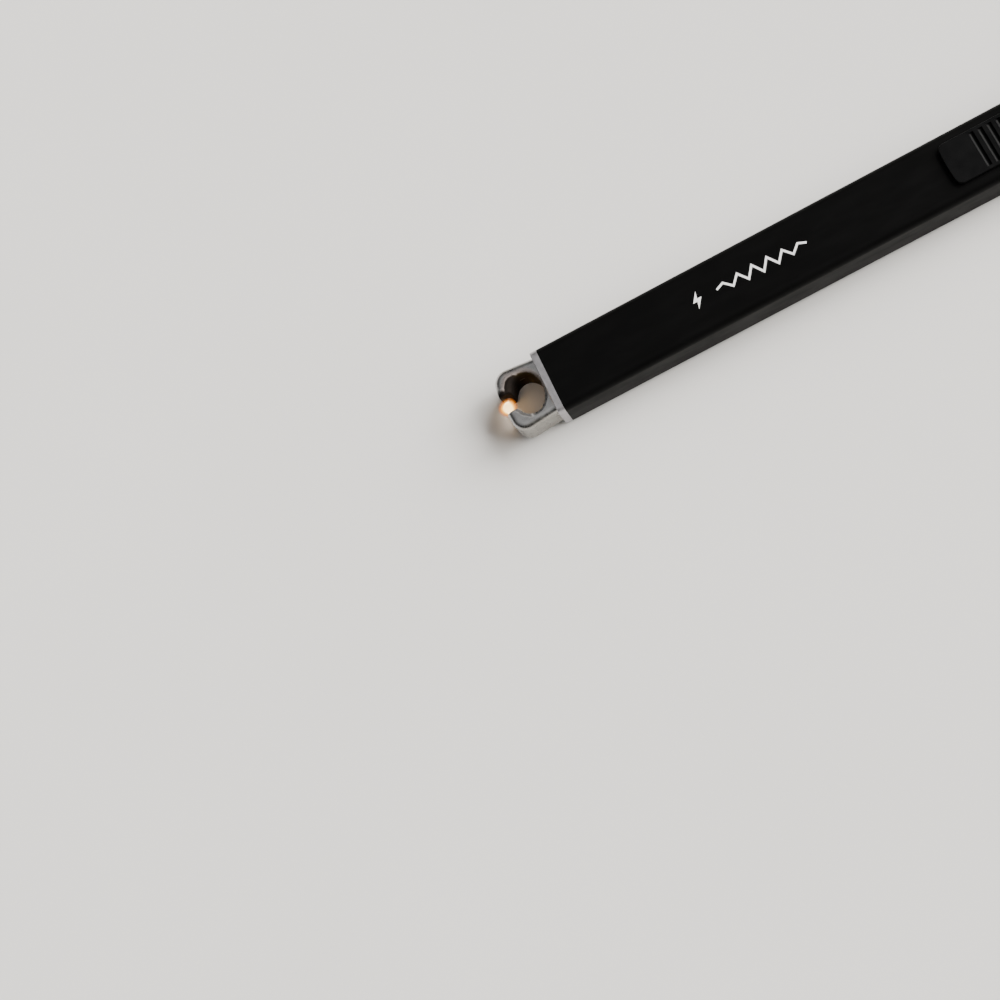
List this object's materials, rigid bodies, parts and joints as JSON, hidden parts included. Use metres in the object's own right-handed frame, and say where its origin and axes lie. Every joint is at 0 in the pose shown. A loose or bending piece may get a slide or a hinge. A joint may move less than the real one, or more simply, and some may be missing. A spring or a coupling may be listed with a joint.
{
  "type": "rechargeable electric arc lighter",
  "caption": "Slim stick-shaped rechargeable arc lighter: flat body, ridged thumb slider, metal head with facing claws round an oval window, charging socket in the tail.",
  "frame": {"origin": "middle of the footprint, on the plane of the flat back face the lighter lies on", "axes": "+X from the tail to the arc tip, +Y to the left seen from above with the tip forward, +Z out of the face that carries the thumb slider"},
  "size_m": [0.1704, 0.015, 0.0101],
  "materials": {
    "body_black": "matte black coating over aluminium",
    "head_metal": "satin die-cast metal",
    "ceramic": "unglazed alumina",
    "electrode_metal": "heat-darkened alloy",
    "lead_white": "silicone insulation",
    "lead_red": "wire insulation",
    "lead_black": "wire insulation",
    "tray_plastic": "moulded nylon",
    "screw_steel": "zinc-plated",
    "screw_black": "black oxide",
    "transformer_black": "moulded case",
    "bobbin_plastic": "natural moulding",
    "copper": "enamelled copper wire",
    "ferrite": "sintered ferrite",
    "potting": "cast resin",
    "cell_foil": "pouch foil",
    "foam": "closed-cell foam",
    "board_green": "solder mask",
    "chip_black": "moulded chip",
    "capacitor_tan": "fired ceramic",
    "capacitor_yellow": "moulded block",
    "led_white": "diffused resin",
    "clear_pipe": "clear acrylic",
    "switch_metal": "tinned steel",
    "switch_plastic": "moulded",
    "slider_black": "fine satin moulding",
    "socket_metal": "nickel-plated shell",
    "socket_plastic": "moulded",
    "contact_gold": "gold-plated",
    "cap_black": "fine satin moulding"
  },
  "bodies": {
    "housing": {"body_tube": "body_black", "arc_head": "head_metal", "head_plate": "head_metal", "insulator_left": "ceramic", "insulator_right": "ceramic", "electrode_left": "electrode_metal", "electrode_right": "electrode_metal", "hv_lead_left": "lead_white", "hv_lead_right": "lead_white", "battery_lead_red": "lead_red", "primary_lead_left": "lead_red", "battery_lead_black": "lead_black", "primary_lead_right": "lead_black", "inner_tray": "tray_plastic", "head_screws": "screw_steel", "tail_cap_screws": "screw_black", "transformer_case": "transformer_black", "transformer_bobbin": "bobbin_plastic", "secondary_winding": "copper", "primary_winding": "copper", "ferrite_core": "ferrite", "potting_lid": "potting", "battery_cell": "cell_foil", "battery_foam": "foam", "circuit_board": "board_green", "controller_chip": "chip_black", "charger_chip": "chip_black", "power_transistors": "chip_black", "chip_resistors": "chip_black", "chip_capacitors": "capacitor_tan", "bulk_capacitor": "capacitor_yellow", "indicator_leds": "led_white", "light_pipe": "clear_pipe", "switch_case": "switch_metal", "detent_spring": "switch_metal", "switch_base": "switch_plastic", "usb_shell": "socket_metal", "usb_moulding": "socket_plastic", "usb_contacts": "contact_gold", "tail_cap": "cap_black"},
    "slider": {"thumb_slider": "slider_black", "slider_carriage": "switch_plastic", "switch_actuator": "switch_plastic"}
  },
  "joints": [
    {"name": "slider_travel", "type": "slide", "parent": "housing", "child": "slider", "axis": [1, 0, 0], "range_m": [-0.003, 0], "deforming": ["detent_spring"]}
  ]
}
